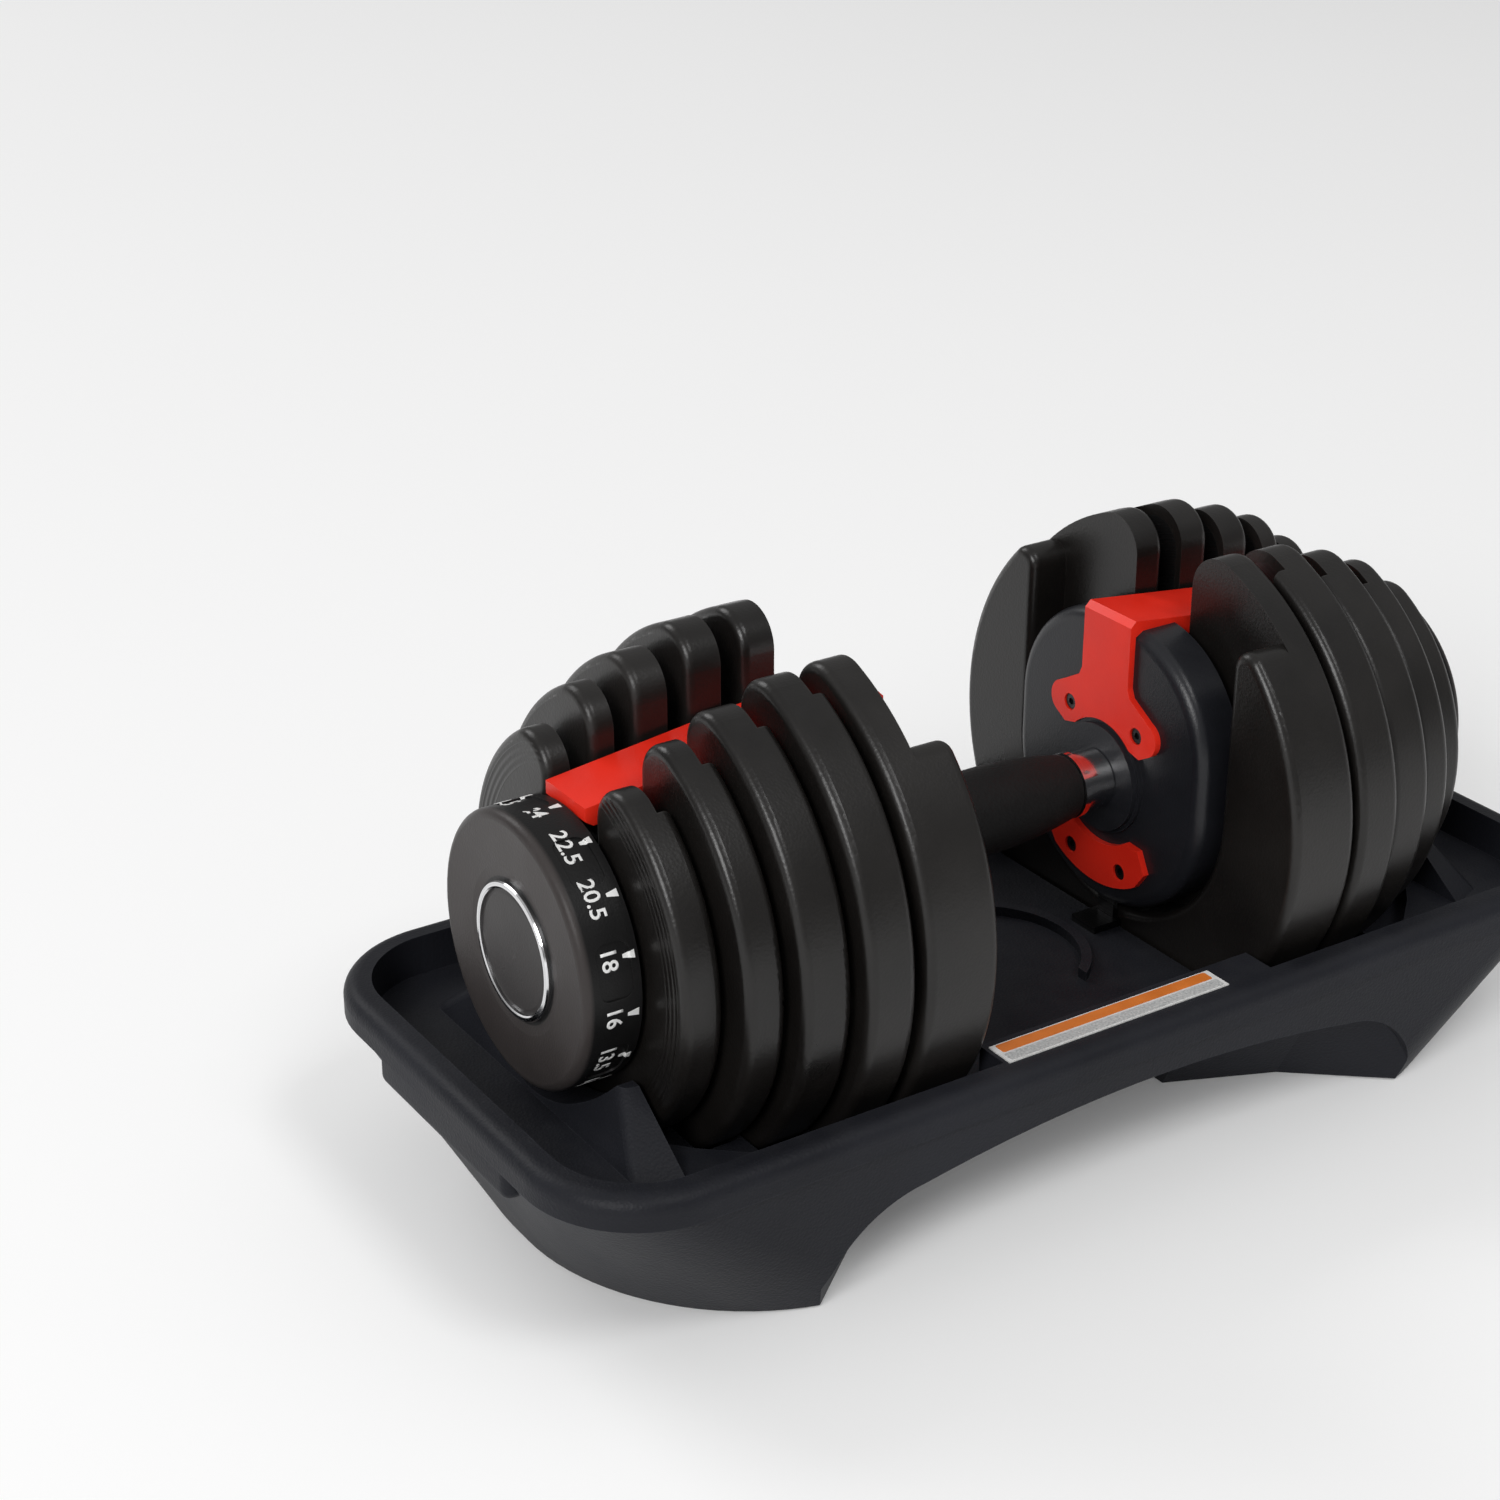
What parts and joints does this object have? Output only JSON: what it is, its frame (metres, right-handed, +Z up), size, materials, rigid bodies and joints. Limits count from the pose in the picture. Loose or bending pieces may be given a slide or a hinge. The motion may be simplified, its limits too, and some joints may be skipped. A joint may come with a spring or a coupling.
{
  "type": "adjustable dumbbell",
  "caption": "Dial-adjust dumbbell with notched weight plates at both ends of a rubber grip, standing in its moulded storage cradle.",
  "frame": {"origin": "on the ground under the middle of the grip and cradle", "axes": "+X along the grip and axles, +Z up, -Y the label side"},
  "size_m": [0.463, 0.212, 0.2075],
  "materials": {
    "rubber_grip": "matte moulded rubber",
    "bright_steel": "polished chrome",
    "tube_steel": "turned steel",
    "housing_plastic": "satin moulded plastic",
    "red_plastic": "satin red moulded plastic",
    "plate_cover": "satin black moulded cover",
    "plate_steel": "plain plate steel",
    "dial_plastic": "satin black moulded plastic",
    "disc_plastic": "plain moulded nylon",
    "screw_steel": "black oxide",
    "cradle_plastic": "textured matte moulded plastic",
    "foot_rubber": "matte rubber",
    "label": "printed film"
  },
  "bodies": {
    "cradle": {"cradle_tray": "cradle_plastic", "foot_pads": "foot_rubber", "release_posts": "tube_steel", "label_plate": "label"},
    "handle": {"grip": "rubber_grip", "handle_tube": "tube_steel", "collar_right": "bright_steel", "collar_left": "bright_steel", "housing_right": "housing_plastic", "housing_left": "housing_plastic", "bridge_right": "red_plastic", "bridge_left": "red_plastic", "lower_plate_right": "red_plastic", "lower_plate_left": "red_plastic", "bracket_screws": "screw_steel"},
    "dial_right": {"axle_right": "tube_steel", "selector_disc_1_right": "disc_plastic", "selector_disc_2_right": "disc_plastic", "selector_disc_3_right": "disc_plastic", "selector_disc_4_right": "disc_plastic", "selector_disc_5_right": "disc_plastic", "dial_right": "dial_plastic", "dial_ring_right": "bright_steel", "dial_cap_right": "dial_plastic", "dial_screw_right": "screw_steel"},
    "dial_left": {"axle_left": "tube_steel", "selector_disc_1_left": "disc_plastic", "selector_disc_2_left": "disc_plastic", "selector_disc_3_left": "disc_plastic", "selector_disc_4_left": "disc_plastic", "selector_disc_5_left": "disc_plastic", "dial_left": "dial_plastic", "dial_ring_left": "bright_steel", "dial_cap_left": "dial_plastic", "dial_screw_left": "screw_steel"},
    "plate_1_right": {"plate_cover_1_right": "plate_cover", "plate_core_1_right": "plate_steel"},
    "plate_1_left": {"plate_cover_1_left": "plate_cover", "plate_core_1_left": "plate_steel"},
    "plate_2_right": {"plate_cover_2_right": "plate_cover", "plate_core_2_right": "plate_steel"},
    "plate_2_left": {"plate_cover_2_left": "plate_cover", "plate_core_2_left": "plate_steel"},
    "plate_3_right": {"plate_cover_3_right": "plate_cover", "plate_core_3_right": "plate_steel"},
    "plate_3_left": {"plate_cover_3_left": "plate_cover", "plate_core_3_left": "plate_steel"},
    "plate_4_right": {"plate_cover_4_right": "plate_cover", "plate_core_4_right": "plate_steel"},
    "plate_4_left": {"plate_cover_4_left": "plate_cover", "plate_core_4_left": "plate_steel"},
    "plate_5_right": {"plate_cover_5_right": "plate_cover", "plate_core_5_right": "plate_steel"},
    "plate_5_left": {"plate_cover_5_left": "plate_cover", "plate_core_5_left": "plate_steel"},
    "lock_right": {"lock_slider_right": "plate_steel"},
    "lock_left": {"lock_slider_left": "plate_steel"}
  },
  "joints": [
    {"name": "handle_lift", "type": "slide", "parent": "cradle", "child": "handle", "axis": [0, 0, 1], "range_m": [0, 0.15]},
    {"name": "dial_turn_right", "type": "hinge", "parent": "handle", "child": "dial_right", "pos_m": [0.19, 0, 0.115], "axis": [1, 0, 0], "continuous": true},
    {"name": "dial_turn_left", "type": "hinge", "parent": "handle", "child": "dial_left", "pos_m": [-0.19, 0, 0.115], "axis": [1, 0, 0], "continuous": true},
    {"name": "plate_1_right_lift", "type": "slide", "parent": "cradle", "child": "plate_1_right", "axis": [0, 0, 1], "range_m": [0, 0.15]},
    {"name": "plate_1_left_lift", "type": "slide", "parent": "cradle", "child": "plate_1_left", "axis": [0, 0, 1], "range_m": [0, 0.15]},
    {"name": "plate_2_right_lift", "type": "slide", "parent": "cradle", "child": "plate_2_right", "axis": [0, 0, 1], "range_m": [0, 0.15]},
    {"name": "plate_2_left_lift", "type": "slide", "parent": "cradle", "child": "plate_2_left", "axis": [0, 0, 1], "range_m": [0, 0.15]},
    {"name": "plate_3_right_lift", "type": "slide", "parent": "cradle", "child": "plate_3_right", "axis": [0, 0, 1], "range_m": [0, 0.15]},
    {"name": "plate_3_left_lift", "type": "slide", "parent": "cradle", "child": "plate_3_left", "axis": [0, 0, 1], "range_m": [0, 0.15]},
    {"name": "plate_4_right_lift", "type": "slide", "parent": "cradle", "child": "plate_4_right", "axis": [0, 0, 1], "range_m": [0, 0.15]},
    {"name": "plate_4_left_lift", "type": "slide", "parent": "cradle", "child": "plate_4_left", "axis": [0, 0, 1], "range_m": [0, 0.15]},
    {"name": "plate_5_right_lift", "type": "slide", "parent": "cradle", "child": "plate_5_right", "axis": [0, 0, 1], "range_m": [0, 0.15]},
    {"name": "plate_5_left_lift", "type": "slide", "parent": "cradle", "child": "plate_5_left", "axis": [0, 0, 1], "range_m": [0, 0.15]},
    {"name": "lock_drop_right", "type": "slide", "parent": "handle", "child": "lock_right", "axis": [0, 0, 1], "range_m": [-0.003, 0]},
    {"name": "lock_drop_left", "type": "slide", "parent": "handle", "child": "lock_left", "axis": [0, 0, 1], "range_m": [-0.003, 0]}
  ],
  "couplings": [
    {"joint": "plate_1_right_lift", "follows": "handle_lift", "ratio": 1},
    {"joint": "plate_1_left_lift", "follows": "handle_lift", "ratio": 1},
    {"joint": "plate_2_right_lift", "follows": "handle_lift", "ratio": 1},
    {"joint": "plate_2_left_lift", "follows": "handle_lift", "ratio": 1},
    {"joint": "plate_3_right_lift", "follows": "handle_lift", "ratio": 1},
    {"joint": "plate_3_left_lift", "follows": "handle_lift", "ratio": 1},
    {"joint": "plate_4_right_lift", "follows": "handle_lift", "ratio": 1},
    {"joint": "plate_4_left_lift", "follows": "handle_lift", "ratio": 1},
    {"joint": "plate_5_right_lift", "follows": "handle_lift", "ratio": 1},
    {"joint": "plate_5_left_lift", "follows": "handle_lift", "ratio": 1},
    {"joint": "lock_drop_right", "follows": "handle_lift", "ratio": -0.02},
    {"joint": "lock_drop_left", "follows": "handle_lift", "ratio": -0.02}
  ]
}
